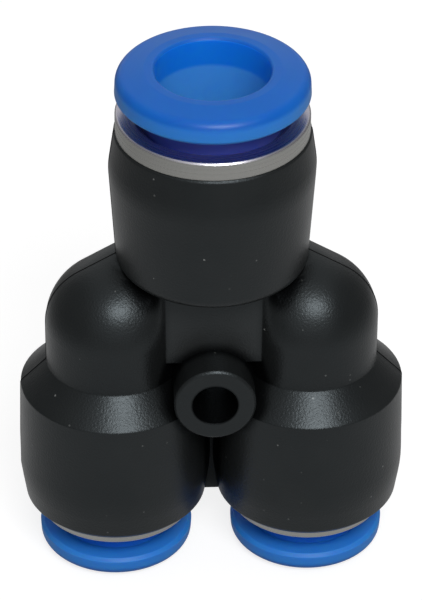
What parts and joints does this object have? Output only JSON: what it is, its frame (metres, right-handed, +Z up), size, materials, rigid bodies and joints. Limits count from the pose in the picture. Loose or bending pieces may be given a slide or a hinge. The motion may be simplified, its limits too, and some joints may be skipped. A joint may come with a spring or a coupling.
{
  "type": "push-in reducing y connector",
  "caption": "Push-in Y connector for pneumatic tubing: one larger tube socket on top, two smaller parallel sockets below, each with a sliding release sleeve, and a cross hole.",
  "frame": {"origin": "midway between the mouths of the two outlet sleeves, on the surface they stand on", "axes": "+Z up through the inlet, X along the row of outlets, Y along the cross hole, front at -Y"},
  "size_m": [0.0352, 0.0184, 0.0507],
  "materials": {
    "black_moulding": "satin moulded, fine grain",
    "blue_acetal": "smooth, slightly translucent",
    "nickel_plate": "turned and nickel plated",
    "spring_steel": "bright pressed sheet",
    "black_acetal": "smooth moulded",
    "seal_rubber": "matt"
  },
  "bodies": {
    "connector": {"y_body": "black_moulding", "inlet_guide_ring": "nickel_plate", "inlet_grab_ring": "spring_steel", "inlet_back_ring": "black_acetal", "inlet_seal_ring": "seal_rubber", "left_guide_ring": "nickel_plate", "left_grab_ring": "spring_steel", "left_back_ring": "black_acetal", "left_seal_ring": "seal_rubber", "right_guide_ring": "nickel_plate", "right_grab_ring": "spring_steel", "right_back_ring": "black_acetal", "right_seal_ring": "seal_rubber"},
    "inlet_sleeve": {"inlet_release_sleeve": "blue_acetal"},
    "left_sleeve": {"left_release_sleeve": "blue_acetal"},
    "right_sleeve": {"right_release_sleeve": "blue_acetal"}
  },
  "joints": [
    {"name": "inlet_release", "type": "slide", "parent": "connector", "child": "inlet_sleeve", "axis": [0, 0, -1], "range_m": [0, 0.0016], "stiffness_N_per_m": 2000, "deforming": ["inlet_grab_ring"]},
    {"name": "left_release", "type": "slide", "parent": "connector", "child": "left_sleeve", "axis": [0, 0, 1], "range_m": [0, 0.0016], "stiffness_N_per_m": 2000, "deforming": ["left_grab_ring"]},
    {"name": "right_release", "type": "slide", "parent": "connector", "child": "right_sleeve", "axis": [0, 0, 1], "range_m": [0, 0.0016], "stiffness_N_per_m": 2000, "deforming": ["right_grab_ring"]}
  ]
}
